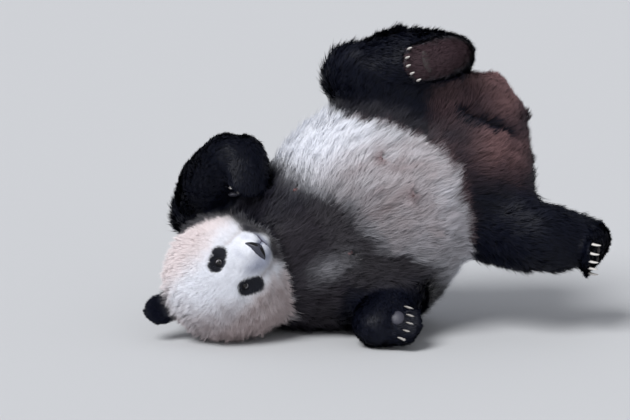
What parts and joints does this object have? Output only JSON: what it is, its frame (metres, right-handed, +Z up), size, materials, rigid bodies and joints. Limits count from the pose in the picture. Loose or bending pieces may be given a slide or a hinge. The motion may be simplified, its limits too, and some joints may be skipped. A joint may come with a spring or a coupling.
{
  "type": "giant panda lying on its side",
  "caption": "Life-size giant panda lying on its right side, belly to the front, with its hips rolled up and the upper hind leg folded above them.",
  "frame": {"origin": "on the floor, under the middle of the whole animal", "axes": "+X from the head towards the hind feet, +Y from the belly to the back, +Z up"},
  "size_m": [1.2532, 0.5378, 0.8231],
  "materials": {
    "coat_white": "dense matte fur, cream white",
    "coat_black": "dense matte fur, black with a soft sheen",
    "coat_brown": "dense matte fur, stained reddish brown",
    "claw_horn": "smooth pale horn, slightly glossy",
    "bare_leather": "bare pebbled skin of the nose and the paw pads",
    "wet_eye": "wet dark brown eyeball"
  },
  "bodies": {
    "root": {"head": "coat_white", "neck": "coat_white", "belly": "coat_white", "rump": "coat_brown", "tail": "coat_brown", "nose": "bare_leather", "eye_left": "wet_eye", "eye_right": "wet_eye", "ear_left": "coat_black", "ear_right": "coat_black", "chest": "coat_black", "left_upper_arm": "coat_black", "left_forearm": "coat_black", "left_thigh": "coat_black", "left_shank": "coat_black", "left_forepaw": "coat_black", "left_hindpaw": "coat_black", "right_upper_arm": "coat_black", "right_forearm": "coat_black", "right_thigh": "coat_black", "right_shank": "coat_black", "right_forepaw": "coat_black", "right_hindpaw": "coat_black", "left_forepaw_claw_1": "claw_horn", "left_forepaw_claw_2": "claw_horn", "left_forepaw_claw_3": "claw_horn", "left_forepaw_claw_4": "claw_horn", "left_forepaw_claw_5": "claw_horn", "left_hindpaw_claw_1": "claw_horn", "left_hindpaw_claw_2": "claw_horn", "left_hindpaw_claw_3": "claw_horn", "left_hindpaw_claw_4": "claw_horn", "left_hindpaw_claw_5": "claw_horn", "right_forepaw_claw_1": "claw_horn", "right_forepaw_claw_2": "claw_horn", "right_forepaw_claw_3": "claw_horn", "right_forepaw_claw_4": "claw_horn", "right_forepaw_claw_5": "claw_horn", "right_hindpaw_claw_1": "claw_horn", "right_hindpaw_claw_2": "claw_horn", "right_hindpaw_claw_3": "claw_horn", "right_hindpaw_claw_4": "claw_horn", "right_hindpaw_claw_5": "claw_horn"}
  },
  "joints": []
}
